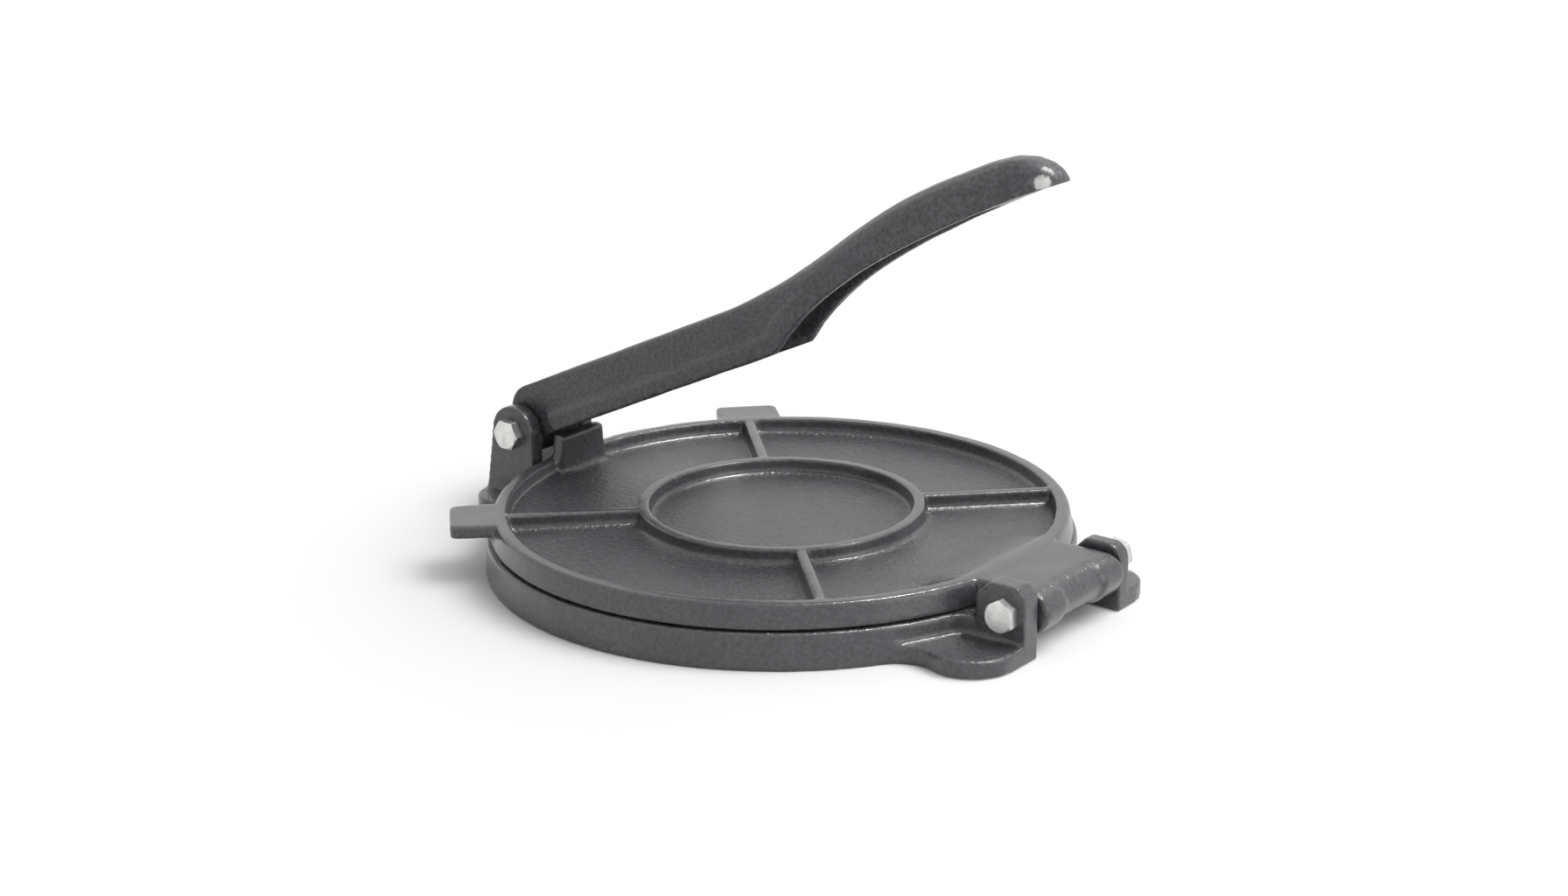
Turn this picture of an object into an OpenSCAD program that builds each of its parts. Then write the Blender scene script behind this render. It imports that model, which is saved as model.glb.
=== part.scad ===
// Cast-iron tortilla press, closed, as it stands on a table.
// Millimetres. The origin is the centre of the round plates, on the table.
// +X runs from the lever's pivot to the lid's hinge, +Z is up.

/* [Base plate] */
// Diameter of the base plate at the table
base_d = 203.2; // [180:0.4:240]
// Height of the lower pressing face above the table
base_h = 12.2; // [10:0.2:16]
// Thickness of the lower pressing wall
base_skin = 4.5; // [3:0.1:6]
// Width of the rim that the base stands on
base_rim = 5; // [4:0.5:9]
// How far the base's side leans in from bottom to top
base_lean = 0.6; // [0:0.1:1.5]
// Thickness of the foot plates beside the ears
foot_h = 6; // [4:0.5:8]

/* [Top plate] */
// How far the top plate's lower edge lies inside the base's
lid_inset = 1.8; // [1.4:0.1:4]
// Height of the top plate's rim
lid_h = 8.4; // [7:0.1:11]
// Thickness of the upper pressing wall
lid_skin = 3.1; // [2.5:0.1:4.5]
// Width of the raised rim at its top
lid_rim = 4.8; // [3:0.1:7]
// How far the top plate's side leans in from bottom to top
lid_lean = 1.5; // [0:0.1:2.5]
// Gap between the closed pressing faces
plate_gap = 0.3; // [0.2:0.05:0.6]
// Chamfer on the plates' facing edges
edge_chamfer = 0.6; // [0.3:0.1:1]
// Outer diameter of the raised ring round the centre
ring_d = 98.4; // [70:0.2:130]
// Width of the rings and spokes
rib_w = 4; // [3:0.1:6]
// Radius in the corners of the rims and rings with the pressing walls
rib_fillet = 1.8; // [1.6:0.1:2.4]
// Radius in the corners of the spokes with the pressing walls
spoke_fillet = 1.4; // [0.8:0.1:1.5]

/* [Lifting tabs] */
// How far a tab stands out from the top plate's rim
tab_l = 14.7; // [10:0.1:26]
// Width of a tab at its end
tab_w = 23; // [16:0.5:30]
// Width of a tab at the rim
tab_root_w = 24; // [18:0.5:34]
// Thickness of a tab
tab_h = 4.5; // [3.5:0.1:6.5]
// Radius of a tab's outer corners
tab_corner = 2.6; // [1:0.1:6]

/* [Lid hinge] */
// Distance from the base's edge to the hinge bolt
hinge_out = 10.4; // [10:0.1:16]
// Height of the hinge bolt
hinge_z = 15.5; // [14.6:0.1:17]
// Width of the lid's arm between the ears
arm_w = 47; // [36:0.5:60]
// Side play between the arm and each ear
arm_play = 1; // [0.4:0.1:2]
// Radius of the eyes round the hinge bolt
eye_r = 10.5; // [9:0.1:10.8]
// Width of each eye
eye_w = 12; // [8:0.5:16]
// Radius of the lip between the eyes
lip_r = 9.2; // [8:0.1:10]
// Radius of the hollow behind the lip
lip_hollow_r = 3.7; // [3.4:0.1:3.9]
// Radius over the arm's outer top edge
arm_round = 7.5; // [4:0.1:8]
// Length of the ramp that rises from the floor to the arm
ramp_l = 27; // [15:0.5:32]
// Width of each sloping side of the ramp
ramp_side = 8; // [5:0.5:12]
// Thickness of the hinge ear under the bolt's head
hinge_ear_t = 8; // [5:0.1:10]
// Thickness of the hinge ear under the nut
nut_ear_t = 5.8; // [5:0.1:10]
// Length of a hinge ear along the press
hinge_ear_l = 18.5; // [15:0.1:19]
// From the hinge bolt to an ear's outer end
hinge_ear_end = 7.4; // [6.5:0.1:9]
// Height of the hinge ear under the bolt's head
hinge_ear_h = 25; // [24:0.1:30]
// Height of the hinge ear under the nut
nut_ear_h = 22.8; // [22.6:0.1:30]
// Radius of the outer corner of the hinge ear under the nut
nut_ear_round = 5.2; // [1:0.1:6.5]
// Size of the outer chamfer on the hinge ear under the head
ear_chamfer = 3.4; // [1:0.1:5]
// Size of the inner chamfer on each hinge ear
ear_slope = 5; // [1:0.1:7]
// Radius of the hinge foot's corner beside the head
hinge_foot_r = 15; // [12:0.5:18]
// How far the hinge foot stands out beside the head's ear
hinge_foot_w = 21.5; // [18:0.5:26]
// Radius of the hinge foot's corner beside the nut
nut_foot_r = 13; // [11:0.5:16]
// How far the hinge foot stands out beside the nut's ear
nut_foot_w = 18; // [16.5:0.5:26]

/* [Lever pivot] */
// Distance from the base's edge to the lever's bolt
pivot_out = 8.4; // [8.2:0.1:14]
// Height of the lever's bolt
pivot_z = 28.7; // [27:0.1:34]
// Thickness of a pivot ear
pivot_ear_t = 6; // [4.5:0.1:8]
// Radius of a pivot ear's round top
pivot_ear_r = 9.8; // [8:0.1:9.9]
// Radius of the pivot foot's corners
pivot_foot_r = 12; // [9:0.5:15]
// How far the pivot foot stands out beside an ear
pivot_foot_w = 12; // [9:0.5:18]
// From the lever's bolt to the pivot foot's end
pivot_foot_end = 13.9; // [12:0.1:16]

/* [Pressing boss] */
// From the lever's bolt to the middle of the boss
boss_from_pivot = 17.2; // [16.6:0.1:18.5]
// Length of the boss along the press, at its top
boss_l = 5.4; // [4:0.1:7]
// Width of the boss across the press, at its top
boss_w = 22; // [16:0.5:26]
// How much the boss widens on each side down to the floor
boss_draft = 0.8; // [0:0.1:1.5]
// Gap between the boss and the lever at rest
boss_gap = 0.25; // [0.2:0.05:1]
// Radius of the boss's crowned top
boss_crown_r = 9; // [6:0.5:20]

/* [Lever] */
// Angle of the lever above level at rest
lever_rise = 24.4; // [23:0.1:27]
// Length of the lever from its bolt to its tip
lever_l = 248.5; // [230:0.5:285]
// Width of the lever's upper part
lever_w = 20; // [16:0.5:26]
// Side play between the lever and each ear
lever_play = 0.5; // [0.3:0.1:1.5]
// From the bolt up to the beam's top face
beam_top = 14.7; // [12:0.1:17]
// Radius along the beam's top edges
beam_round = 2.6; // [1:0.1:4]
// Radius of the lever's rounded back corner
back_r = 10.6; // [8:0.1:13]
// From the bolt to the centre of that rounding
back_x = 7; // [5:0.1:9]
// From the bolt down to the beam's lower edge
beam_drop = 4.8; // [4:0.1:6]
// Width of the flange along the beam's lower edge
flange_w = 24; // [20:0.5:30]
// Height of the flange below its bevel
flange_h = 5.5; // [4:0.1:7]
// Where the flange starts, from the bolt
flange_start = 14; // [13.4:0.1:15]
// Radius of the flange's first corner
flange_corner = 3.5; // [2:0.1:4]
// Where the beam's lower edge ends, from the bolt
beam_l = 124.8; // [110:0.2:140]
// How far the handle climbs above the beam's top face
handle_climb = 14.4; // [8:0.2:20]
// How far before the beam's lower corner the climb starts
climb_lead = 18; // [15:0.5:34]
// From the climb's end to the lever's tip
climb_to_tip = 41.5; // [30:0.5:50]
// Depth of the handle near its tip
handle_depth = 12.3; // [10:0.1:14]
// Width of the handle
handle_w = 22; // [18:0.5:26]
// Length of the rounded tip
tip_l = 22; // [14:0.1:24]
// Thickness of the lever's side walls
lever_wall = 4; // [3:0.1:5.5]
// Thickness of the lever's top wall
lever_roof = 5; // [3.5:0.1:7]
// From the flange's start to the start of the hollow
hollow_setback = 12; // [8:0.5:20]
// Radius of the eye round the lever's bolt
lever_eye_r = 9.5; // [8:0.1:9.7]

/* [Bolts] */
// Diameter of the bolts' shanks
bolt_d = 6; // [5:0.1:7]
// Radial clearance of a bolt in its holes
bolt_fit = 0.08; // [0.02:0.01:0.1]
// Width across flats of heads and nuts
hex_af = 10; // [9:0.1:12]
// Height of a bolt's head
head_h = 4; // [3:0.1:5]
// Height of a nut
nut_h = 5; // [4:0.1:6]
// Diameter of a washer
washer_d = 12; // [11:0.1:14]
// Thickness of a washer
washer_t = 1; // [0.6:0.1:1.6]
// How far a bolt's end stands out of its nut
bolt_tail = 2; // [1:0.1:4]
// How far the hinge bolt's head is turned
hinge_head_turn = 28; // [0:1:59]
// How far the lever bolt's head is turned
lever_head_turn = 2; // [0:1:59]
// How far the nuts are turned
nut_turn = 14; // [0:1:59]

/* [Hidden] */
$fn = 96;

iron = [0.27, 0.27, 0.28];
zinc = [0.78, 0.78, 0.76];

base_r = base_d / 2;
lid_z = base_h + plate_gap;
lid_top = lid_z + lid_h;
lid_floor = lid_z + lid_skin;
lid_r = base_r - lid_inset;
lid_top_r = lid_r - lid_lean;
rim_in_r = lid_top_r - lid_rim;
ring_r = ring_d / 2;
spoke_angles = [45, 135, 225, 315];
tab_angles = [134.6, 224.6];
tab_reach = lid_top_r + tab_l;
hinge_x = base_r + hinge_out;
pivot_x = base_r + pivot_out;

// The ramp ends and the arm begins this far inside the lid's top edge. Feet, ears and webs
// start at side_start, well inside the base's side.
ramp_setback = 7;
arm_setback = 3;
ramp_end = lid_top_r - ramp_setback;
ramp_start = ramp_end - ramp_l;
arm_start = lid_top_r - arm_setback;
side_start = base_r * 0.9;

arm_y = arm_w / 2;
hinge_ear_y = arm_y + arm_play;
hinge_out_y = hinge_ear_y + hinge_ear_t;
nut_out_y = hinge_ear_y + nut_ear_t;
hinge_end_x = hinge_x + hinge_ear_end;
bore_r = bolt_d / 2 + bolt_fit;

lever_y = lever_w / 2;
pivot_ear_y = lever_y + lever_play;
pivot_out_y = pivot_ear_y + pivot_ear_t;
pivot_foot_x = pivot_x + pivot_foot_end;
foot_web_fillet = 6;
foot_sweep = 12;

// The lever's outline: where its top climbs, the level its lower edge nears under the handle and
// the length over which that edge rises, and how far the tip's point lies below the level.
climb_start = beam_l - climb_lead;
climb_end = lever_l - climb_to_tip;
grip_edge = beam_top + handle_climb - handle_depth;
finger_curve = 33.5;
tip_rise = 1.6;
tip_fall = 1;
tip_z = grip_edge - tip_rise;

// The lever's cross-section turns from the beam's into the handle's over change_l, from
// change_before ahead of the beam's end. Its top corners are nearly sharp at the knuckle,
// beam_round after round_l, and handle_round on the handle, which is grip_lean slimmer on top.
change_before = 14;
change_l = 44;
knuckle_round = 0.8;
round_l = 20;
handle_round = 8;
grip_lean = 0.6;
// Height of the bevel over the flange, and how much higher it lies on the handle.
bevel_h = 2;
bevel_lift = 4;
// Chamfer in the hollow's upper corners, and how far the hollow's cut reaches out below.
hollow_chamfer = 1.5;
cut_through = 2;
// Least thickness of the tip.
tip_edge = 0.4;
// How bluntly the tip ends in plan: 1 comes to a point.
tip_point = 0.94;

// How far a joining piece reaches into its neighbour, how deep a round that blends
// two others crosses them, and how far ribs, tabs and arm lie below the rim's top.
bite = 0.3;
sink = 0.05;
rim_step = 0.1;
rib_top = lid_top - rim_step;
arm_top = lid_top - rim_step;

// The beam's lower edge stands beam_drop below the bolt, square to the lever.
// This is its height above the table over a place x along the press.
function beam_edge_z(x) = pivot_z + (x + pivot_x) * tan(lever_rise) - beam_drop / cos(lever_rise);
boss_x = boss_from_pivot - pivot_x;
boss_top = beam_edge_z(boss_x - boss_l / 2) - boss_gap;

// Fills an inside corner with a hollow quarter round of radius r.
// sx and sy point from the corner into the open space. The piece reaches a little
// way into both walls and its round cuts them at a slight angle, so all edges are sound.
module fillet(corner, r, sx, sy) {
    translate(corner) mirror([sx < 0 ? 1 : 0, 0]) mirror([0, sy < 0 ? 1 : 0])
        difference() {
            translate([-bite, -bite]) square(r + bite);
            translate([r, r]) circle(r + 0.02 * r);
        }
}

// What is cut off an outside corner to round it to radius r.
// sx and sy point from the corner into the material.
module corner_cut(corner, r, sx, sy) {
    translate(corner) mirror([sx < 0 ? 1 : 0, 0]) mirror([0, sy < 0 ? 1 : 0])
        difference() {
            translate([-1, -1]) square(r + 1);
            translate([r, r]) circle(r);
        }
}

// Extrudes an outline drawn in X and Z across the press, from y0 to y1.
module across(y0, y1) {
    translate([0, y1, 0]) rotate([90, 0, 0]) linear_extrude(y1 - y0) children();
}

// A hexagonal prism along Y from y0 to y1, turned by an angle about its axis.
module hex_along_y(y0, y1, turn) {
    translate([0, y0, 0]) rotate([-90, 0, 0]) rotate(turn)
        cylinder(h = y1 - y0, d = hex_af / cos(30), $fn = 6);
}

module rod_along_y(r, y0, y1) {
    translate([0, y0, 0]) rotate([-90, 0, 0]) cylinder(h = y1 - y0, r = r);
}

// Ribs between the ring and the rim, with filleted feet.
// They stand on z0 and reach z1, and dir is 1 for ribs that stand up.
module spokes(z0, z1, r_in, r_out, dir) {
    for (a = spoke_angles)
        rotate(a) translate([r_in, 0, 0]) rotate([90, 0, 90]) linear_extrude(r_out - r_in) {
            translate([-rib_w / 2, min(z0 - dir * bite, z1)]) square([rib_w, abs(z1 - z0) + bite]);
            fillet([rib_w / 2, z0], spoke_fillet, 1, dir);
            fillet([-rib_w / 2, z0], spoke_fillet, -1, dir);
        }
}

// Centre of a circle of radius f that all but touches the plate's side and a circle
// of radius r round centre c. side is 1 or -1, for the corner to the left or right of c.
function sweep_centre(c, r, f, side) =
    let (a = norm(c), b = base_r - sink + f, d = r - sink + f,
         angle = acos((a * a + b * b - d * d) / (2 * a * b)),
         turn = atan2(c[1], c[0]) + side * angle)
    b * [cos(turn), sin(turn)];

// A foot's corner: a round end of radius r at c, blended into the plate's side by a hollow sweep.
module foot_corner(c, r, f, side) {
    s = sweep_centre(c, r, f, side);
    on_plate = s * (base_r - sink) / norm(s);
    on_corner = c + (s - c) * (r - sink) / norm(s - c);
    translate(c) circle(r);
    difference() {
        polygon([[0, 0], on_plate, s, on_corner, c]);
        translate(s) circle(f);
    }
}

// The foot beside one hinge ear, whose outer face is at y = -out_y. The foot is w wide beyond it.
module hinge_foot(out_y, r, w) {
    c = [hinge_end_x - r, -(out_y + w - r)];
    difference() {
        union() {
            foot_corner(c, r, foot_sweep, -1);
            translate([side_start, c[1]]) square([hinge_end_x - side_start, -hinge_ear_y - c[1]]);
        }
        translate([0, -hinge_ear_y]) square([hinge_end_x + 1, hinge_ear_y]);
    }
}

module pivot_foot() {
    c = [-(pivot_foot_x - pivot_foot_r), -(pivot_out_y + pivot_foot_w - pivot_foot_r)];
    foot_corner(c, pivot_foot_r, foot_sweep, 1);
    translate([-pivot_foot_x, c[1]]) square([pivot_foot_x - side_start, -c[1] + 0.01]);
}

// Side view of a hinge ear of height h, with chamfer c on its outer top corner.
module hinge_ear_outline(h, c) {
    x0 = hinge_end_x - hinge_ear_l;
    polygon([[side_start, 0], [hinge_end_x, 0], [hinge_end_x, h - c], [hinge_end_x - c, h],
        [x0 + ear_slope, h], [x0, h - ear_slope], [x0, base_h - 1], [side_start, base_h - 1]]);
}

module nut_ear_outline() {
    difference() {
        hinge_ear_outline(nut_ear_h, 0);
        corner_cut([hinge_end_x, nut_ear_h], nut_ear_round, -1, -1);
    }
}

// Where a line from q touches the circle of radius r round c, on its far side from the plate.
function touch_point(q, c, r) =
    let (d = norm(q - c), turn = atan2(q[1] - c[1], q[0] - c[0]) - acos(r / d))
    c + r * [cos(turn), sin(turn)];

module pivot_ear_outline() {
    c = [-pivot_x, pivot_z];
    q = [-pivot_foot_x + bite, foot_h];
    translate(c) circle(pivot_ear_r);
    polygon([touch_point(q, c, pivot_ear_r - sink), q, [q[0], 0], [-pivot_x + pivot_ear_r - sink, 0],
        [-pivot_x + pivot_ear_r - sink, pivot_z], c]);
}

// Hollow corner between the base's side and the outer face of a hinge ear at y = -out_y.
module ear_web(out_y) {
    yc = -(out_y - sink + foot_web_fillet);
    reach = base_r - sink + foot_web_fillet;
    c = [sqrt(reach * reach - yc * yc), yc];
    difference() {
        polygon([[side_start, -hinge_ear_y - bite], [c[0], -hinge_ear_y - bite], c,
            c * (base_r - sink) / norm(c)]);
        translate(c) circle(foot_web_fillet);
    }
}

module base_profile() {
    wall_z = base_h - base_skin;
    polygon([[0, wall_z], [base_r - base_rim, wall_z], [base_r - base_rim, 0], [base_r, 0],
        [base_r - base_lean, base_h - edge_chamfer], [base_r - base_lean - edge_chamfer, base_h],
        [0, base_h]]);
    fillet([base_r - base_rim, wall_z], rib_fillet, -1, -1);
    translate([ring_r - rib_w, 0]) square([rib_w, wall_z + bite]);
    fillet([ring_r, wall_z], rib_fillet, 1, -1);
    fillet([ring_r - rib_w, wall_z], rib_fillet, -1, -1);
}

module pivot_side() {
    linear_extrude(foot_h) pivot_foot();
    across(-pivot_out_y, -pivot_ear_y) pivot_ear_outline();
}

module hinge_head_side() {
    linear_extrude(foot_h) hinge_foot(hinge_out_y, hinge_foot_r, hinge_foot_w);
    linear_extrude(base_h) ear_web(hinge_out_y);
    across(-hinge_out_y, -hinge_ear_y) hinge_ear_outline(hinge_ear_h, ear_chamfer);
}

// Drawn on the near side too, and mirrored to the far side in the base.
module hinge_nut_side() {
    linear_extrude(foot_h) hinge_foot(nut_out_y, nut_foot_r, nut_foot_w);
    linear_extrude(base_h) ear_web(nut_out_y);
    across(-nut_out_y, -hinge_ear_y) nut_ear_outline();
}

// The base: a ribbed round plate with two pairs of ears and their feet, cast in one piece.
module base_plate() {
    color(iron)
        difference() {
            union() {
                rotate_extrude() base_profile();
                spokes(base_h - base_skin, rim_step, ring_r - rib_w / 2, base_r - base_rim / 2, -1);
                difference() {
                    union() {
                        pivot_side();
                        mirror([0, 1, 0]) pivot_side();
                        hinge_head_side();
                        mirror([0, 1, 0]) hinge_nut_side();
                    }
                    translate([0, 0, -1]) cylinder(h = hinge_ear_h, r = base_r - base_rim);
                }
            }
            translate([hinge_x, 0, hinge_z]) rod_along_y(bore_r, -hinge_out_y - 1, hinge_out_y + 1);
            translate([-pivot_x, 0, pivot_z]) rod_along_y(bore_r, -pivot_out_y - 1, pivot_out_y + 1);
        }
}

module lid_profile() {
    polygon([[0, lid_z], [lid_r - edge_chamfer, lid_z], [lid_r, lid_z + edge_chamfer],
        [lid_top_r, lid_top - edge_chamfer], [lid_top_r - edge_chamfer, lid_top], [rim_in_r, lid_top],
        [rim_in_r, lid_floor], [0, lid_floor]]);
    fillet([rim_in_r, lid_floor], rib_fillet, -1, 1);
    translate([ring_r - rib_w, lid_floor - bite]) square([rib_w, lid_top - lid_floor + bite]);
    fillet([ring_r, lid_floor], rib_fillet, 1, 1);
    fillet([ring_r - rib_w, lid_floor], rib_fillet, -1, 1);
}

// A flat tab that the lid is lifted by, level with the rim.
module tab(angle) {
    tab_root = lid_top_r - 2 * edge_chamfer;
    rotate(angle) translate([0, 0, rib_top - tab_h])
        difference() {
            linear_extrude(tab_h) {
                difference() {
                    polygon([[ring_r, -tab_root_w / 2], [tab_root, -tab_root_w / 2],
                        [tab_reach, -tab_w / 2], [tab_reach, tab_w / 2],
                        [tab_root, tab_root_w / 2], [ring_r, tab_root_w / 2]]);
                    corner_cut([tab_reach, tab_w / 2], tab_corner, -1, -1);
                    corner_cut([tab_reach, -tab_w / 2], tab_corner, -1, 1);
                }
            }
            translate([0, 0, -1]) cylinder(h = tab_h + 2, r = rim_in_r + lid_rim / 2);
        }
}

// Side view of the lid's arm: a flat top that rounds over into the eyes.
module arm_outline(r) {
    end_x = hinge_x + r;
    difference() {
        union() {
            translate([hinge_x, hinge_z]) circle(r);
            translate([arm_start, lid_z + rim_step])
                square([hinge_x - arm_start, arm_top - lid_z - rim_step]);
            translate([hinge_x, hinge_z]) square([r, arm_top - hinge_z]);
        }
        translate([hinge_x - r - 1, arm_top]) square([2 * r + 2, r]);
        corner_cut([end_x, arm_top], min(arm_round, r - 1), -1, -1);
    }
}

module arm() {
    for (s = [-1, 1])
        across(min(s * arm_y, s * (arm_y - eye_w)), max(s * arm_y, s * (arm_y - eye_w))) arm_outline(eye_r);
    across(-arm_y + eye_w - 0.01, arm_y - eye_w + 0.01)
        difference() {
            arm_outline(lip_r);
            translate([hinge_x, hinge_z]) circle(lip_hollow_r);
            translate([hinge_x - lip_r - 1, hinge_z - 2 * lip_r])
                square([lip_r + 1, lid_z + rim_step - hinge_z + 2 * lip_r]);
            translate([hinge_x - 1, hinge_z - lip_r - 1])
                square([lip_hollow_r * 0.9 + 1, lip_r + 1]);
        }
    intersection() {
        across(-arm_y - ramp_side, arm_y + ramp_side)
            polygon([[ramp_start, lid_floor - bite], [ramp_start, lid_floor], [ramp_end, arm_top],
                [arm_start, arm_top], [arm_start, lid_floor - bite]]);
        translate([ramp_start - 1, 0, 0]) rotate([90, 0, 90]) linear_extrude(ramp_l + 7)
            polygon([[-arm_y - ramp_side, lid_floor - 1], [arm_y + ramp_side, lid_floor - 1],
                [arm_y, arm_top + 0.1], [-arm_y, arm_top + 0.1]]);
    }
}

// The block that the lever presses on, with a crowned top and drafted sides.
module boss() {
    crown_drop = boss_crown_r - sqrt(boss_crown_r * boss_crown_r - boss_l * boss_l / 4);
    intersection() {
        across(-boss_w, boss_w)
            intersection() {
                polygon([[boss_x - boss_l / 2 - boss_draft, lid_floor - 0.5], [boss_x - boss_l / 2, boss_top],
                    [boss_x + boss_l / 2, boss_top], [boss_x + boss_l / 2 + boss_draft, lid_floor - 0.5]]);
                union() {
                    translate([boss_x, boss_top - boss_crown_r]) circle(boss_crown_r);
                    translate([boss_x - boss_l, 0]) square([2 * boss_l, boss_top - crown_drop - 1]);
                }
            }
        rotate([90, 0, 90]) translate([0, 0, -pivot_x]) linear_extrude(pivot_x)
            polygon([[-boss_w / 2 - boss_draft, 0], [boss_w / 2 + boss_draft, 0],
                [boss_w / 2, boss_top], [-boss_w / 2, boss_top]]);
    }
}

// The lid: a ribbed round plate with two tabs, the boss and the hinge arm, cast in one piece.
module top_plate() {
    color(iron)
        difference() {
            union() {
                rotate_extrude() lid_profile();
                spokes(lid_floor, rib_top, ring_r - rib_w / 2, rim_in_r + lid_rim / 2, 1);
                for (a = tab_angles)
                    tab(a);
                arm();
                boss();
            }
            translate([hinge_x, 0, hinge_z]) rod_along_y(bore_r, -arm_y - 1, arm_y + 1);
        }
}

// 0 up to t = 0, 1 from t = 1, and a smooth rise between them.
function ease(t) = t <= 0 ? 0 : t >= 1 ? 1 : (1 - cos(180 * t)) / 2;
function blend(a, b, t) = a + (b - a) * t;

// Heights of the lever's outline over a distance u from its bolt, square to the beam.
function crown(u) = beam_top + handle_climb * ease((u - climb_start) / (climb_end - climb_start));
function lower_edge(u) = u <= beam_l ? -beam_drop
    : grip_edge - (grip_edge + beam_drop) * exp(-(u - beam_l) / finger_curve);
function tip_round(u) = let (t = (u - lever_l + tip_l) / tip_l) sqrt(max(0, 1 - t * t));
function top_edge(u) = u <= lever_l - tip_l ? crown(u) : tip_z + (crown(u) - tip_z) * tip_round(u);
function tip_drop(u) = u <= lever_l - tip_l ? 0 : tip_fall * pow((u - lever_l + tip_l) / tip_l, 2);

// How far a section at u has changed from the beam's shape to the handle's, from 0 to 1.
function into_handle(u) = ease((u - beam_l + change_before) / change_l);

// Half widths of the lever: below the bevel and above it.
function tip_width(u) = u <= lever_l - 2 * tip_l ? 1
    : let (t = (u - lever_l + 2 * tip_l) / (2 * tip_l)) sqrt(1 - tip_point * pow(t, 4));
function low_half(u) = blend(flange_w, handle_w, into_handle(u)) / 2 * tip_width(u);
function high_half(u) = blend(lever_w, handle_w - grip_lean, into_handle(u)) / 2 * tip_width(u);

// One outer cross-section of the lever as [across, up] points, round the top from side to side.
function outer_section(u) =
    let (top = top_edge(u), low = min(lower_edge(u) - tip_drop(u), top - tip_edge), deep = top - low,
         wl = low_half(u), wh = high_half(u), m = into_handle(u),
         start_round = blend(knuckle_round, beam_round, ease((u - loft_start) / round_l)),
         r = min(blend(start_round, handle_round, m), wh * 0.8, deep * 0.6),
         bevel = min(low + flange_h + m * bevel_lift, top - r - deep * 0.12),
         bevel_top = min(bevel + bevel_h, top - r - deep * 0.04),
         half = concat([[wl, low], [wl, bevel], [wh, bevel_top]],
             [for (a = [0:22.5:90]) [wh - r + r * cos(a), top - r + r * sin(a)]]))
    concat(half, [for (i = [len(half) - 1:-1:0]) [-half[i][0], half[i][1]]]);

// One cross-section of the hollow under the lever.
function inner_section(u) =
    let (top = top_edge(u) - lever_roof, low = lower_edge(u) - tip_drop(u) - cut_through,
         wl = low_half(u) - lever_wall, wh = high_half(u) - lever_wall,
         knee = min(lower_edge(u) + flange_h, top - 2))
    [[wl, low], [wl, knee], [wh, top - hollow_chamfer], [wh - hollow_chamfer, top],
        [hollow_chamfer - wh, top], [-wh, top - hollow_chamfer], [-wl, knee], [-wl, low]];

// A solid through cross-sections that all have the same number of points.
module loft(places, sections) {
    n = len(sections[0]);
    last = len(sections) - 1;
    polyhedron(
        [for (k = [0:last]) for (p = sections[k]) [places[k], p[0], p[1]]],
        concat([[for (i = [0:n - 1]) i]], [[for (i = [n - 1:-1:0]) last * n + i]],
            [for (k = [0:last - 1]) for (i = [0:n - 1]) let (j = (i + 1) % n)
                each [[k * n + j, k * n + i, (k + 1) * n + j],
                    [(k + 1) * n + j, k * n + i, (k + 1) * n + i]]]));
}

loft_start = flange_start + flange_corner;
early_places = [for (i = [0:4]) beam_l - change_before * (1 - i / 4)];
outer_places = concat([loft_start, loft_start + round_l / 2, loft_start + round_l, climb_start], early_places,
    [for (i = [1:14]) beam_l + (lever_l - tip_l - beam_l) * i / 14],
    [for (t = [0.35, 0.62, 0.82, 0.93, 0.985]) lever_l - tip_l + tip_l * t]);
hollow_start = flange_start + hollow_setback;
hollow_end = lever_l - 1.3 * tip_l;
inner_places = concat([hollow_start, climb_start], early_places,
    [for (i = [1:8]) beam_l + (hollow_end - beam_l) * i / 8]);

// The round back end of the lever, between the ears, with the eye for the bolt.
module knuckle() {
    across(-lever_y, lever_y) {
        circle(lever_eye_r);
        intersection() {
            translate([back_x, beam_top - back_r + sink]) circle(back_r);
            translate([-back_r, 0]) square([3 * back_r, 2 * back_r]);
        }
        translate([back_x, -beam_drop]) square([loft_start + 0.5 - back_x, beam_top + beam_drop]);
    }
}

// The first stretch of the flange, with its rounded corner.
module flange_nose() {
    half = flange_w / 2;
    bevel = flange_h - beam_drop;
    intersection() {
        across(-half, half)
            difference() {
                translate([flange_start, -beam_drop]) square([flange_corner + bite, flange_h + bevel_h]);
                corner_cut([flange_start, -beam_drop], flange_corner, 1, 1);
            }
        rotate([90, 0, 90]) linear_extrude(loft_start + cut_through)
            polygon([[half, -beam_drop], [half, bevel], [lever_y, bevel + bevel_h],
                [-lever_y, bevel + bevel_h], [-half, bevel], [-half, -beam_drop]]);
    }
}

// The lever: a hollow beam with bevelled flanges that climbs into a round-topped handle.
module lever() {
    color(iron)
        translate([-pivot_x, 0, pivot_z]) rotate([0, -lever_rise, 0])
            difference() {
                union() {
                    knuckle();
                    flange_nose();
                    loft(outer_places, [for (u = outer_places) outer_section(u)]);
                }
                loft(inner_places, [for (u = inner_places) inner_section(u)]);
                rod_along_y(bore_r, -lever_y - 1, lever_y + 1);
            }
}

// A hexagon bolt along Y. Its head bears on the ear at y = -head_seat, and the nut's ear ends at nut_seat.
module bolt(head_seat, nut_seat, turn) {
    color(zinc) {
        hex_along_y(-head_seat - head_h, -head_seat, turn);
        rod_along_y(bolt_d / 2, -head_seat - bite, nut_seat + washer_t + nut_h + bolt_tail);
    }
}

module nut(seat) {
    color(zinc)
        difference() {
            hex_along_y(seat + washer_t, seat + washer_t + nut_h, nut_turn);
            rod_along_y(bolt_d / 2, seat, seat + washer_t + nut_h + 1);
        }
}

module washer(seat) {
    color(zinc)
        difference() {
            rod_along_y(washer_d / 2, seat, seat + washer_t);
            rod_along_y(bore_r, seat - 1, seat + washer_t + 1);
        }
}

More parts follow.
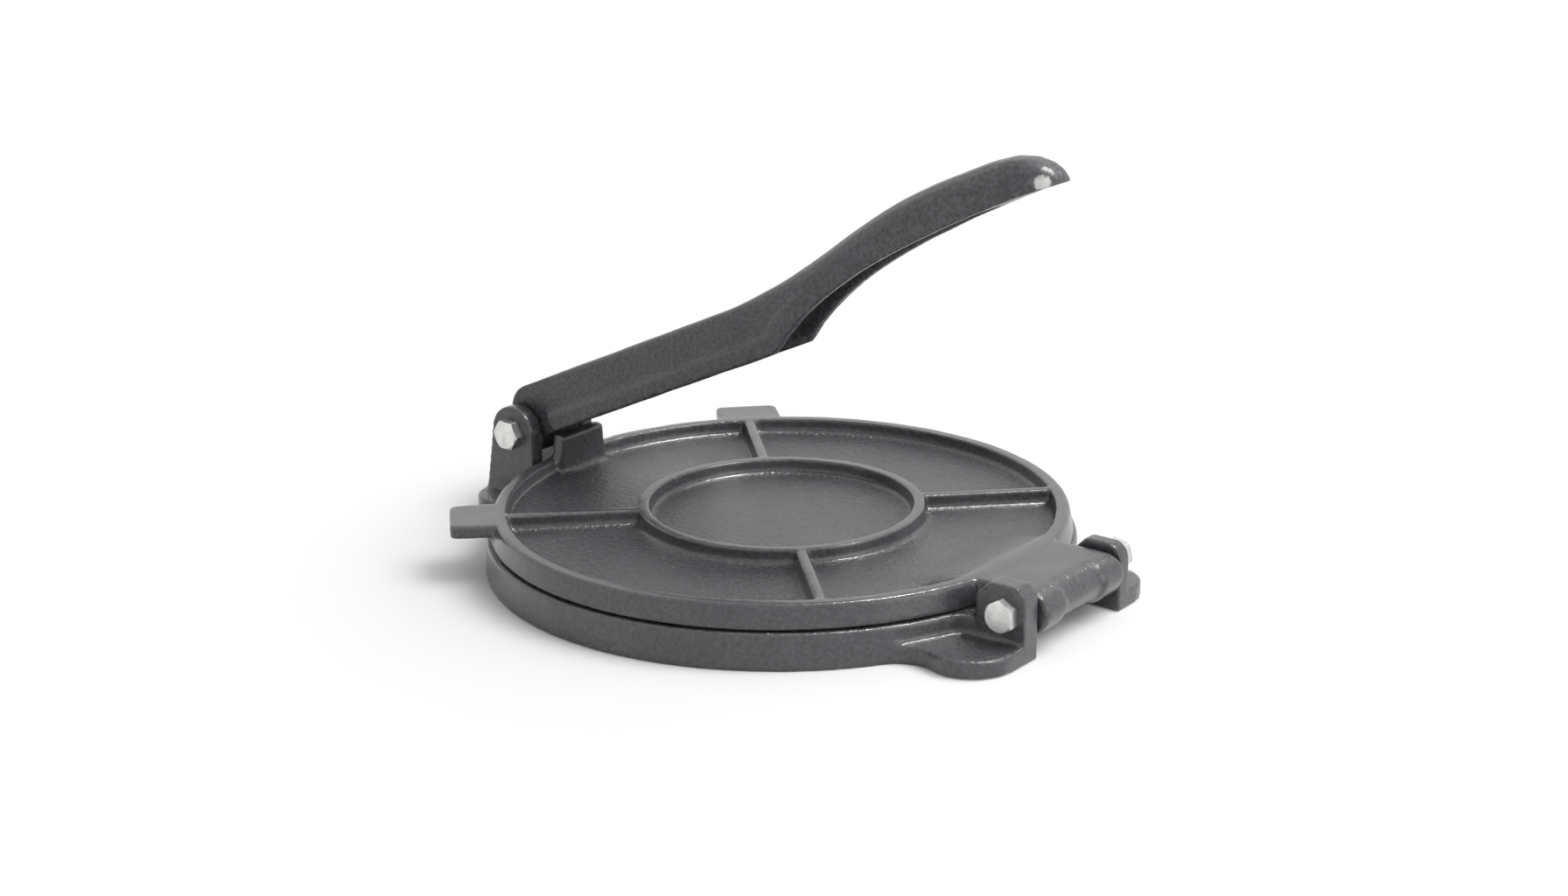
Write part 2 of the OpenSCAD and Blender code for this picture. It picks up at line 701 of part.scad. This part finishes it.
module at_hinge() {
    translate([hinge_x, 0, hinge_z]) children();
}

module at_pivot() {
    translate([-pivot_x, 0, pivot_z]) children();
}

module hinge_bolt() {
    at_hinge() bolt(hinge_out_y, nut_out_y, hinge_head_turn);
}

module hinge_nut() {
    at_hinge() nut(nut_out_y);
}

module hinge_washer() {
    at_hinge() washer(nut_out_y);
}

module lever_bolt() {
    at_pivot() bolt(pivot_out_y, pivot_out_y, lever_head_turn);
}

module lever_nut() {
    at_pivot() nut(pivot_out_y);
}

module lever_washer() {
    at_pivot() washer(pivot_out_y);
}

base_plate();
top_plate();
lever();
hinge_bolt();
hinge_nut();
hinge_washer();
lever_bolt();
lever_nut();
lever_washer();
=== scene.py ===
# The tortilla press as it stands in the photograph: closed, with its lever raised at a slant.
# Units are metres, except where a comment says millimetres. The castings are remeshed copies of
# the CAD solids with soft, grainy skins, and the fasteners are modelled here in full.
import math

import bmesh
import bpy
import numpy as np
from mathutils import Matrix, Vector, noise


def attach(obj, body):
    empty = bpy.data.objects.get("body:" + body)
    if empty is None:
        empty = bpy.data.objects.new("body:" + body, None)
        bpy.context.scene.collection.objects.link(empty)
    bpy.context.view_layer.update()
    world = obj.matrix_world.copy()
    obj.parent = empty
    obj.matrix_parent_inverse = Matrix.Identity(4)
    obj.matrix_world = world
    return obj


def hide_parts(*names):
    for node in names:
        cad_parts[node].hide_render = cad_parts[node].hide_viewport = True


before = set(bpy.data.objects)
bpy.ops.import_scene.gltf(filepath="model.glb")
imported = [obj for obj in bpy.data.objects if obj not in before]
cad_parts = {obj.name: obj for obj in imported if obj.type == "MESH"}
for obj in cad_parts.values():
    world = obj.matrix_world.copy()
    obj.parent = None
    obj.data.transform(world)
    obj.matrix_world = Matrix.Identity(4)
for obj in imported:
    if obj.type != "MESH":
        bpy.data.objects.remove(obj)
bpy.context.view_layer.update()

MM = 0.001
WHITE = (1.0, 1.0, 1.0)

# Camera, fitted to the photograph: angles in degrees, distances in metres
CAM_AZIMUTH = 37.73
CAM_ELEVATION = 19.11
CAM_ROLL = -0.46
CAM_DISTANCE = 0.8974
CAM_TARGET = Vector((0.0, 0.0, 0.020))
IMAGE_W = 1792
FOCAL_PIXELS = 2993.85
TARGET_LEFT_PIXELS = 2.91
TARGET_DOWN_PIXELS = 62.74
SENSOR_MM = 36.0
CLIP_NEAR = 0.01
CLIP_FAR = 50.0

# Castings: the remesh's voxel, the distance at which vertices are joined, and the most triangles kept
VOXEL = 0.55 * MM
WELD_DISTANCE = 0.002 * MM
MAX_TRIANGLES = 190000

# Unevenness of a cast skin: two noises by their scale per millimetre, the second one's share,
# and how far the skin is drawn in, as a share of the wave, so that it hardly passes the solid
LONG_WAVE = 0.09
SHORT_WAVE = 0.5
SHORT_SHARE = 0.25
DRAWN_IN = 0.6

# The lid in millimetres: its floor, its level top, and the soft ramp from the floor to the arm.
# The ramp runs along X, ends short of the rim's wall and fades out towards its sides. It moves
# only vertices that face up, in its box and from just below the floor.
LID_FLOOR = 15.6
LID_TOP = 20.9
RAMP_START = 67.0
RAMP_END = 91.3
RAMP_HALF = 31.5
RAMP_SIDE = 9.5
RAMP_SINK = 0.1
RAMP_LIMIT = 91.0
RAMP_LIMIT_FADE = 3.0
RAMP_BOX_START = 58.0
RAMP_BOX_HALF = 38.0
RAMP_BELOW_FLOOR = 0.5
FACING_UP = 0.4

# Places of the lid smoothed further: passes, then the low and high corner of a box and its fade,
# in millimetres. They are the arm's ramp, the boss under the lever and the hinge's barrel.
LID_BLENDS = [
    (30, (60.0, -34.0, 15.0), (84.0, 34.0, 40.0), 4.0),
    (12, (-104.0, -20.0, 14.0), (-66.0, 20.0, 40.0), 2.0),
    (14, (100.0, -30.0, 2.0), (125.0, 30.0, 30.0), 2.0),
]

# Colours of the iron's cloudy skin, of a ragged near-white spot and of zinc plating
IRON_DARK = (0.045, 0.041, 0.047)
IRON_LIGHT = (0.062, 0.058, 0.064)
SPOT_WHITE = (0.66, 0.65, 0.63)
ZINC_DARK = (0.56, 0.56, 0.55)
ZINC_LIGHT = (0.78, 0.77, 0.75)

# The grain's depth on the iron and on the zinc, the iron's roughness in hollows, and the height
# above which the lid's level faces are smooth
SAND_DEPTH = 0.34 * MM
ZINC_DEPTH = 0.08 * MM
HOLLOW_ROUGHNESS = (0.17, 0.17, 0.17)
SMOOTH_ABOVE = (LID_TOP - 0.2) * MM
SMOOTH_FADE = 0.4 * MM

# A ragged near-white spot painted on the near side of the grip's end
WHITE_SPOT_CENTRE = (0.107, -0.009, 0.1462)
WHITE_SPOT_RADIUS = 0.0046

# Fasteners, in millimetres: each bolt's place along X and Z, and the faces along Y that its head
# and its washer bear on. The head points to -Y.
HINGE_AT = (112.0, 15.5)
HINGE_HEAD_SEAT = 32.5
HINGE_NUT_SEAT = 30.3
PIVOT_AT = (-110.0, 28.7)
PIVOT_SEAT = 16.5

# Sizes of the M6 bolts, nuts and washers, in millimetres, with the chamfer and the sharp edges' angle
# in degrees
HEX_FLATS = 10.0
HEX_CORNER = 5.68
HEX_FACE = 4.8
HEX_CHAMFER = 30
HEX_FLAT_FACE = HEX_FACE * 0.985
HEAD_HEIGHT = 4.0
NUT_HEIGHT = 5.0
WASHER_RADIUS = 6.0
WASHER_BORE = 3.08
WASHER_HEIGHT = 1.0
WASHER_EASE = 0.12
SHANK_RADIUS = 3.0
THREAD_PITCH = 1.0
THREAD_DEPTH = 0.5
THREAD_LENGTH = 18.0
THREAD_STEP = 0.125
THREAD_POINT = THREAD_DEPTH + 0.1
BOLT_TAIL = 2.0
HEAD_EASE = 0.1
FACE_EASE = 0.05
NUT_BORE = SHANK_RADIUS - 0.05
NUT_SINK = SHANK_RADIUS + 0.35
NUT_SINK_DEPTH = 0.4
ROUND_STEPS = 96
SHARP_ANGLE = 24

# Studio: the floor's half width, drop and brightness, the distances from the middle between which
# it fades to white, the strength of the world as light, and the place the lamps aim at
FLOOR_HALF = 6.0
FLOOR_DROP = 0.0002
FLOOR_BRIGHTNESS = (0.93, 0.93, 0.93)
FADE_START = 0.10
FADE_END = 0.175
WORLD_LIGHT = 0.50
LAMP_TARGET = Vector((0, 0, 0.03))


def make_camera():
    """The camera at the photograph's place, aim and lens."""
    data = bpy.data.cameras.new("camera")
    data.sensor_width = SENSOR_MM
    data.lens = FOCAL_PIXELS / IMAGE_W * SENSOR_MM
    data.shift_x = TARGET_LEFT_PIXELS / IMAGE_W
    data.shift_y = TARGET_DOWN_PIXELS / IMAGE_W
    data.clip_start = CLIP_NEAR
    data.clip_end = CLIP_FAR
    cam = new_object("camera", data)
    a = math.radians(CAM_AZIMUTH)
    e = math.radians(CAM_ELEVATION)
    away = Vector((math.sin(a) * math.cos(e), -math.cos(a) * math.cos(e), math.sin(e)))
    turn = (-away).to_track_quat("-Z", "Y").to_matrix().to_4x4()
    roll = Matrix.Rotation(math.radians(CAM_ROLL), 4, "Z")
    cam.matrix_world = Matrix.Translation(CAM_TARGET + away * CAM_DISTANCE) @ turn @ roll
    bpy.context.scene.camera = cam


def new_object(name, data):
    """An object in the scene, around a mesh, a lamp or a camera."""
    obj = bpy.data.objects.new(name, data)
    bpy.context.scene.collection.objects.link(obj)
    return obj


class Nodes:
    """Short ways to add and join the shader nodes of a material or a world."""

    def __init__(self, owner, output="ShaderNodeOutputMaterial"):
        owner.use_nodes = True
        self.owner = owner
        self.tree = owner.node_tree
        self.tree.nodes.clear()
        self.out = self.add(output)

    def add(self, kind, **values):
        node = self.tree.nodes.new(kind)
        for key, value in values.items():
            setattr(node, key, value)
        return node

    def put(self, value, socket):
        """Sets a socket to a number or a colour, or links an output to it."""
        if isinstance(value, (int, float)):
            socket.default_value = value
        elif isinstance(value, tuple):
            socket.default_value = (*value, 1.0)
        else:
            self.tree.links.new(value, socket)

    def surface(self, kind):
        """A shader that is joined to the output."""
        node = self.add(kind)
        self.put(node.outputs[0], self.out.inputs["Surface"])
        return node

    def coords(self):
        return self.add("ShaderNodeTexCoord").outputs["Object"]

    def height(self, vector):
        """The Z part of a vector."""
        node = self.add("ShaderNodeSeparateXYZ")
        self.put(vector, node.inputs[0])
        return node.outputs["Z"]

    def noise(self, coords, scale, detail, rough):
        node = self.add("ShaderNodeTexNoise")
        self.put(scale, node.inputs["Scale"])
        self.put(detail, node.inputs["Detail"])
        self.put(rough, node.inputs["Roughness"])
        self.put(coords, node.inputs["Vector"])
        return node.outputs["Fac"]

    def ramp(self, value, stops):
        """A ramp over stops of place and colour, where a colour may be one grey number."""
        node = self.add("ShaderNodeValToRGB")
        points = node.color_ramp.elements
        while len(points) < len(stops):
            points.new(0.5)
        for point, (place, colour) in zip(points, stops):
            point.position = place
            point.color = (*colour, 1.0) if isinstance(colour, tuple) else (colour, colour, colour, 1.0)
        self.put(value, node.inputs["Fac"])
        return node.outputs["Color"]

    def math(self, kind, a, b, clamp=False):
        node = self.add("ShaderNodeMath", operation=kind, use_clamp=clamp)
        self.put(a, node.inputs[0])
        self.put(b, node.inputs[1])
        return node.outputs[0]

    def step(self, value, start, end):
        """0 at start to 1 at end, along a soft S."""
        node = self.add("ShaderNodeMapRange", interpolation_type="SMOOTHSTEP")
        self.put(start, node.inputs["From Min"])
        self.put(end, node.inputs["From Max"])
        self.put(value, node.inputs["Value"])
        return node.outputs["Result"]

    def mix(self, kind, share, a, b):
        node = self.add("ShaderNodeMix", data_type="RGBA", blend_type=kind)
        self.put(share, node.inputs[0])
        self.put(a, node.inputs[6])
        self.put(b, node.inputs[7])
        return node.outputs[2]

    def bump(self, height, strength, distance):
        node = self.add("ShaderNodeBump")
        self.put(strength, node.inputs["Strength"])
        self.put(distance, node.inputs["Distance"])
        self.put(height, node.inputs["Height"])
        return node.outputs[0]

    def seen(self):
        """1 for rays from the camera and for reflections, 0 for scattered light."""
        rays = self.add("ShaderNodeLightPath").outputs
        return self.math("ADD", rays["Is Camera Ray"], rays["Is Glossy Ray"], clamp=True)


def iron_colour(n, coords, mottle, pointed, grain, painted_light_gain):
    """A cloudy near-black, speckled by the grain, with painted shade darkening the hollows and the convex
    edges painted lighter, partly as wear and partly as painted highlight.
    """
    cloud = n.noise(coords, scale=38.0, detail=3.0, rough=0.5)
    colour = n.ramp(cloud, [(0.30, IRON_DARK), (0.70, IRON_LIGHT)])
    # This factor scales the whole colour. Above 1 it is painted light that makes a lighter copy of the same
    # iron.
    low = painted_light_gain * (1.0 - 0.32 * grain)
    high = painted_light_gain * (1.0 + 0.45 * grain)
    speckle = n.ramp(mottle, [(0.34, low), (0.50, painted_light_gain), (0.68, high)])
    colour = n.mix("MULTIPLY", 1.0, colour, speckle)
    # Painted shade: hollows, found by pointiness, are darkened to 0.35. Convex edges are lightened up to
    # 2.1, partly as wear and partly as painted highlight.
    hollow_shade_edge_sheen_and_wear = n.ramp(pointed, [(0.42, 0.35), (0.49, 1.0), (0.52, 1.0), (0.60, 2.1)])
    return n.mix("MULTIPLY", 0.9, colour, hollow_shade_edge_sheen_and_wear)


def grain_strength(n, coords, normal, hollow, grain, smooth_above):
    """How strongly the sand grain shows: more in hollows and on level floors, little on level tops."""
    strength = n.math("ADD", 0.42 * grain, n.math("MULTIPLY", hollow, 0.45))
    if not smooth_above:
        return strength
    high_up = n.step(n.height(coords), smooth_above - SMOOTH_FADE, smooth_above)
    level = n.step(n.height(normal), 0.80, 0.95)
    smooth = n.math("MULTIPLY", high_up, level)
    strength = n.math("ADD", strength, n.math("MULTIPLY", level, 1.3))
    return n.math("MULTIPLY", strength, n.math("SUBTRACT", 1.0, n.math("MULTIPLY", smooth, 0.86)))


def with_white_spot(n, coords, torn_by, colour, centre, radius):
    """The colour with a ragged near-white spot round centre."""
    away = n.add("ShaderNodeVectorMath", operation="DISTANCE")
    n.put(coords, away.inputs[0])
    away.inputs[1].default_value = centre
    torn = n.math("ADD", away.outputs["Value"], n.math("MULTIPLY", torn_by, radius * 0.5))
    spot = n.step(torn, radius * 1.25, radius * 1.05)
    return n.mix("MIX", n.math("MULTIPLY", spot, 0.95), colour, SPOT_WHITE)


def cast_iron(name, grain=1.0, gloss=0.5, painted_light_gain=1.0, smooth_above=None, white_spot=None):
    """Seasoned cast iron: near-black skin with sand grain under a thin baked-on gloss.
    Level faces above the height smooth_above are worn smooth, and the last argument is the centre and
    radius of a ragged near-white spot."""
    n = Nodes(bpy.data.materials.new(name))
    shader = n.surface("ShaderNodeBsdfPrincipled")
    coords = n.coords()
    geometry = n.add("ShaderNodeNewGeometry").outputs
    pointed = geometry["Pointiness"]
    hollow = n.step(pointed, 0.495, 0.46)
    mottle = n.noise(coords, scale=700.0, detail=5.0, rough=0.62)
    fine = n.noise(coords, scale=1700.0, detail=3.0, rough=0.6)
    coarse = n.noise(coords, scale=560.0, detail=4.0, rough=0.62)

    colour = iron_colour(n, coords, mottle, pointed, grain, painted_light_gain)
    if white_spot:
        colour = with_white_spot(n, coords, coarse, colour, *white_spot)
    rough = n.ramp(mottle, [(0.3, 0.27), (0.7, 0.40)])
    rough = n.mix("MIX", hollow, rough, HOLLOW_ROUGHNESS)
    height = n.math("ADD", n.math("MULTIPLY", fine, 0.30), coarse)
    strength = grain_strength(n, coords, geometry["True Normal"], hollow, grain, smooth_above)
    bumped = n.bump(height, strength, SAND_DEPTH)

    n.put(colour, shader.inputs["Base Color"])
    n.put(rough, shader.inputs["Roughness"])
    n.put(bumped, shader.inputs["Normal"])
    n.put(bumped, shader.inputs["Coat Normal"])
    n.put(0.0, shader.inputs["Metallic"])
    n.put(0.48, shader.inputs["Specular IOR Level"])
    n.put(gloss, shader.inputs["Coat Weight"])
    n.put(0.07, shader.inputs["Coat Roughness"])
    return n.owner


def bright_steel(name):
    """Zinc-plated steel of the fasteners, faintly stained and dulled."""
    n = Nodes(bpy.data.materials.new(name))
    shader = n.surface("ShaderNodeBsdfPrincipled")
    coords = n.coords()
    stain = n.noise(coords, scale=260.0, detail=4.0, rough=0.6)
    fine = n.noise(coords, scale=2400.0, detail=2.0, rough=0.5)
    n.put(n.ramp(stain, [(0.3, ZINC_DARK), (0.7, ZINC_LIGHT)]), shader.inputs["Base Color"])
    n.put(n.ramp(stain, [(0.3, 0.36), (0.7, 0.26)]), shader.inputs["Roughness"])
    n.put(n.bump(fine, 0.25, ZINC_DEPTH), shader.inputs["Normal"])
    n.put(1.0, shader.inputs["Metallic"])
    return n.owner


def applied(obj):
    """Replaces obj's mesh by the result of its modifiers, and returns it."""
    graph = bpy.context.evaluated_depsgraph_get()
    mesh = bpy.data.meshes.new_from_object(obj.evaluated_get(graph))
    obj.modifiers.clear()
    obj.data = mesh
    return mesh


def skin(mesh):
    """The mesh's vertices in millimetres and their normals, as arrays."""
    places = np.empty(len(mesh.vertices) * 3)
    normals = np.empty(len(mesh.vertices) * 3)
    mesh.vertices.foreach_get("co", places)
    mesh.vertex_normals.foreach_get("vector", normals)
    return places.reshape(-1, 3) / MM, normals.reshape(-1, 3)


def put_places(mesh, places):
    """Moves the mesh's vertices to places, in millimetres."""
    mesh.vertices.foreach_set("co", (places * MM).ravel())
    mesh.update()


def softened(mesh, passes, strength=None, hollows_only=False):
    """Draws vertices to the middle of their neighbours. hollows_only leaves raised edges as they are."""
    count = len(mesh.vertices)
    ends = np.empty(len(mesh.edges) * 2, dtype=np.int64)
    mesh.edges.foreach_get("vertices", ends)
    places, normals = skin(mesh)
    one, other = ends[0::2], ends[1::2]
    share = np.ones(count) if strength is None else strength(places)
    near = (share[one] > 0) | (share[other] > 0)
    one, other = one[near], other[near]
    joined = np.bincount(one, minlength=count) + np.bincount(other, minlength=count)
    moving = np.flatnonzero((share > 0) & (joined > 0))
    for _ in range(passes):
        pull = np.empty((len(moving), 3))
        for axis in range(3):
            line = places[:, axis]
            total = np.bincount(one, line[other], count) + np.bincount(other, line[one], count)
            pull[:, axis] = total[moving] / joined[moving] - line[moving]
        if hollows_only:
            outward = np.einsum("ij,ij->i", pull, normals[moving]) > 0
            pull *= outward[:, None]
        places[moving] += 0.5 * share[moving, None] * pull
    put_places(mesh, places)


def within(low, high, fade):
    """A strength for softened: 1 inside the box from low to high, in millimetres, and 0 beyond its fade."""
    def strength(places):
        inside = np.minimum(places - np.array(low), np.array(high) - places) / fade + 1.0
        return np.clip(inside.min(axis=1), 0.0, 1.0)
    return strength


def eased(value):
    """0 to 1 along a soft S."""
    value = np.clip(value, 0.0, 1.0)
    return value * value * (3.0 - 2.0 * value)


def arm_ramp(mesh):
    """Lets the lid's arm rise out of its floor in a soft S."""
    places, normals = skin(mesh)
    x, y, z = places.T
    along = eased((x - RAMP_START) / (RAMP_END - RAMP_START))
    across = eased((RAMP_HALF - np.abs(y)) / RAMP_SIDE)
    wanted = LID_FLOOR + (LID_TOP - RAMP_SINK - LID_FLOOR) * along * across
    inside = np.clip((RAMP_LIMIT - np.hypot(x, y)) / RAMP_LIMIT_FADE, 0.0, 1.0)
    in_box = (x > RAMP_BOX_START) & (np.abs(y) < RAMP_BOX_HALF)
    on_top = in_box & (normals[:, 2] > FACING_UP) & (z > LID_FLOOR - RAMP_BELOW_FLOOR)
    places[:, 2] += inside * on_top * (wanted - z)
    put_places(mesh, places)


def waved(mesh, wave):
    """Gives the skin a slight unevenness, of about wave millimetres, along its normals."""
    normals = [vertex.normal.copy() for vertex in mesh.vertices]
    for vertex, normal in zip(mesh.vertices, normals):
        at = vertex.co / MM
        lift = noise.noise(at * LONG_WAVE) * wave + noise.noise(at * SHORT_WAVE) * wave * SHORT_SHARE
        vertex.co += normal * (lift - wave * DRAWN_IN) * MM


def casting(node, body, material, edges, hollows, wave, blends=(), shape=None):
    """A cast piece: the node's solid with rounded edges, filled hollows and an uneven sand-cast skin.
    edges and hollows are passes of smoothing, and shape is a function that changes the mesh before them."""
    obj = new_object(body + "_casting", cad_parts[node].data.copy())
    weld = obj.modifiers.new("weld", "WELD")
    weld.merge_threshold = WELD_DISTANCE
    remesh = obj.modifiers.new("remesh", "REMESH")
    remesh.mode = "VOXEL"
    remesh.voxel_size = VOXEL
    remesh.use_smooth_shade = True
    mesh = applied(obj)
    if shape:
        shape(mesh)
    softened(mesh, edges)
    softened(mesh, hollows, hollows_only=True)
    for passes, low, high, fade in blends:
        softened(mesh, passes, within(low, high, fade))
    waved(mesh, wave)
    triangles = 2 * len(mesh.polygons)
    if triangles > MAX_TRIANGLES:
        thin = obj.modifiers.new("thin", "DECIMATE")
        thin.ratio = MAX_TRIANGLES / triangles
        mesh = applied(obj)
    for polygon in mesh.polygons:
        polygon.use_smooth = True
    mesh.materials.clear()
    mesh.materials.append(material)
    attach(obj, body)
    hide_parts(node)


def turned(node, at, rings, material, hollow=False):
    """A fastener round a Y axis. A ring gives its place along Y and its radius, as numbers or functions."""
    points = []
    for place, size in rings:
        for step in range(ROUND_STEPS):
            angle = 2 * math.pi * step / ROUND_STEPS
            y = place(angle) if callable(place) else place
            r = size(angle) if callable(size) else size
            points.append(((at[0] + r * math.cos(angle)) * MM, y * MM, (at[1] + r * math.sin(angle)) * MM))
    faces = []
    for ring in range(len(rings) if hollow else len(rings) - 1):
        low = ring * ROUND_STEPS
        high = (ring + 1) % len(rings) * ROUND_STEPS
        for step in range(ROUND_STEPS):
            after = (step + 1) % ROUND_STEPS
            faces.append((low + step, low + after, high + after, high + step))
    if not hollow:
        last = (len(rings) - 1) * ROUND_STEPS
        faces.append(tuple(range(ROUND_STEPS)))
        faces.append(tuple(range(last, last + ROUND_STEPS)))
    name = node + "_piece"
    mesh = bpy.data.meshes.new(name)
    mesh.from_pydata(points, [], faces)
    shell = bmesh.new()
    shell.from_mesh(mesh)
    bmesh.ops.recalc_face_normals(shell, faces=shell.faces)
    shell.to_mesh(mesh)
    shell.free()
    for polygon in mesh.polygons:
        polygon.use_smooth = True
    mesh.set_sharp_from_angle(angle=math.radians(SHARP_ANGLE))
    mesh.materials.append(material)
    obj = new_object(name, mesh)
    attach(obj, "base")
    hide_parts(node)


def hexagon(turn):
    """Radius of a hexagon with eased corners over the angle round its middle. turn is in degrees."""
    def size(angle):
        side = (angle + math.radians(turn)) % math.radians(60) - math.radians(30)
        return min(HEX_FLATS / 2 / math.cos(side), HEX_CORNER)
    return size


def hex_end(face, inward, turn):
    """Rings of a hexagon's chamfered end, from its flat face. inward is 1 or -1 along Y."""
    corner = hexagon(turn)
    slope = math.tan(math.radians(HEX_CHAMFER))

    def shoulder(angle):
        return face + inward * (FACE_EASE + (corner(angle) - HEX_FACE) * slope)

    return [(face, HEX_FLAT_FACE), (face + inward * FACE_EASE, HEX_FACE), (shoulder, corner)]


def thread(start, end):
    """Rings of a bolt's threaded end, which fades in at the start and is pointed at the end."""
    rings = []
    count = round((end - start) / THREAD_STEP)
    for k in range(count + 1):
        y = start + (end - start) * k / count

        def size(angle, y=y):
            phase = (y / THREAD_PITCH - angle / (2 * math.pi)) % 1.0
            groove = THREAD_DEPTH * (1 - abs(2 * phase - 1)) * min(1.0, (y - start) / THREAD_PITCH)
            point = SHANK_RADIUS - max(0.0, y - end + THREAD_POINT)
            return min(SHANK_RADIUS - groove, point)

        rings.append((y, size))
    return rings


def bolt(node, at, head_seat, nut_seat, turn, material):
    """A hexagon bolt from its chamfered head, at -head_seat, to its threaded tail beyond the nut."""
    corner = hexagon(turn)
    end = nut_seat + WASHER_HEIGHT + NUT_HEIGHT + BOLT_TAIL
    rings = hex_end(-head_seat - HEAD_HEIGHT, 1, turn)
    rings += [(-head_seat - HEAD_EASE, corner), (-head_seat, lambda angle: corner(angle) - HEAD_EASE)]
    rings += [(-head_seat, SHANK_RADIUS)]
    rings += thread(end - THREAD_LENGTH, end)
    turned(node, at, rings, material)


def nut(node, at, nut_seat, turn, material):
    """A hexagon nut, chamfered on both ends, with a countersunk bore."""
    inner = nut_seat + WASHER_HEIGHT
    outer = inner + NUT_HEIGHT
    rings = hex_end(inner, 1, turn) + hex_end(outer, -1, turn)[::-1]
    rings += [(outer, NUT_SINK), (outer - NUT_SINK_DEPTH, NUT_BORE)]
    rings += [(inner + NUT_SINK_DEPTH, NUT_BORE), (inner, NUT_SINK)]
    turned(node, at, rings, material, hollow=True)


def washer(node, at, nut_seat, material):
    """A stamped flat washer with eased edges."""
    outer = nut_seat + WASHER_HEIGHT
    rings = [(nut_seat, WASHER_RADIUS - WASHER_EASE), (nut_seat + WASHER_EASE, WASHER_RADIUS)]
    rings += [(outer - WASHER_EASE, WASHER_RADIUS), (outer, WASHER_RADIUS - WASHER_EASE)]
    rings += [(outer, WASHER_BORE + WASHER_EASE), (outer - WASHER_EASE, WASHER_BORE)]
    rings += [(nut_seat + WASHER_EASE, WASHER_BORE), (nut_seat, WASHER_BORE + WASHER_EASE)]
    turned(node, at, rings, material, hollow=True)


def fasteners(joint, at, head_seat, nut_seat, material, head_turn, nut_turn):
    """The bolt, nut and washer that hold one joint. The turns are in degrees."""
    bolt(joint + "_bolt", at, head_seat, nut_seat, head_turn, material)
    nut(joint + "_nut", at, nut_seat, nut_turn, material)
    washer(joint + "_washer", at, nut_seat, material)


def make_floor():
    """A pale floor that keeps the shadow, and that fades to pure white further out."""
    h = FLOOR_HALF
    mesh = bpy.data.meshes.new("floor")
    mesh.from_pydata([(-h, -h, 0), (h, -h, 0), (h, h, 0), (-h, h, 0)], [], [(0, 1, 2, 3)])
    floor = new_object("floor", mesh)
    floor.location.z = -FLOOR_DROP

    n = Nodes(bpy.data.materials.new("floor"))
    lit = n.add("ShaderNodeBsdfDiffuse")
    n.put(FLOOR_BRIGHTNESS, lit.inputs["Color"])
    white = n.add("ShaderNodeEmission")
    n.put(WHITE, white.inputs["Color"])
    n.put(1.0, white.inputs["Strength"])
    length = n.add("ShaderNodeVectorMath", operation="LENGTH")
    n.put(n.coords(), length.inputs[0])
    fade = n.step(length.outputs["Value"], FADE_START, FADE_END)
    mixer = n.surface("ShaderNodeMixShader")
    n.put(n.math("MULTIPLY", fade, n.seen()), mixer.inputs[0])
    n.put(lit.outputs[0], mixer.inputs[1])
    n.put(white.outputs[0], mixer.inputs[2])
    mesh.materials.append(n.owner)


def make_world():
    """White all round: at full strength where it is seen or reflected, and weaker as light."""
    n = Nodes(bpy.data.worlds.new("studio"), "ShaderNodeOutputWorld")
    mixer = n.surface("ShaderNodeMixShader")
    n.put(n.seen(), mixer.inputs[0])
    for socket, strength in ((mixer.inputs[1], WORLD_LIGHT), (mixer.inputs[2], 1.0)):
        back = n.add("ShaderNodeBackground")
        n.put(WHITE, back.inputs["Color"])
        n.put(strength, back.inputs["Strength"])
        n.put(back.outputs[0], socket)
    bpy.context.scene.world = n.owner


def lamp(name, place, size, watts):
    """A square lamp that is aimed at the press."""
    data = bpy.data.lights.new(name, "AREA")
    data.shape = "SQUARE"
    data.size = size
    data.energy = watts
    obj = new_object(name, data)
    obj.location = place
    obj.rotation_euler = (LAMP_TARGET - Vector(place)).to_track_quat("-Z", "Y").to_euler()
    return obj


def make_lamps():
    """A wide overhead lamp for light only, a weak one from the right, and a small one for glints only."""
    lamp("overhead", (0.62, 0.30, 1.0), size=0.8, watts=11.0).visible_glossy = False
    lamp("right_fill", (1.3, 0.0, 0.45), size=0.7, watts=3.0)
    lamp("glint", (0.36, 0.30, 1.10), size=0.18, watts=15.0).visible_diffuse = False


make_camera()
iron = cast_iron("cast_iron", smooth_above=SMOOTH_ABOVE)
spot = (WHITE_SPOT_CENTRE, WHITE_SPOT_RADIUS)
# The lever's iron is the same iron painted 1.2 times lighter, as painted light on the lever.
lever_iron_painted_lighter = cast_iron("lever_iron_painted_lighter", grain=1.6, gloss=0.06, painted_light_gain=1.2, white_spot=spot)
steel = bright_steel("bright_steel")
casting("base_plate", "base", iron, edges=5, hollows=14, wave=0.12)
casting("top_plate", "lid", iron, edges=5, hollows=18, wave=0.10, blends=LID_BLENDS, shape=arm_ramp)
casting("lever", "lever", lever_iron_painted_lighter, edges=3, hollows=2, wave=0.12)
fasteners("hinge", HINGE_AT, HINGE_HEAD_SEAT, HINGE_NUT_SEAT, steel, head_turn=28, nut_turn=14)
fasteners("lever", PIVOT_AT, PIVOT_SEAT, PIVOT_SEAT, steel, head_turn=2, nut_turn=14)
make_floor()
make_world()
make_lamps()
bpy.context.scene.view_settings.view_transform = "Standard"
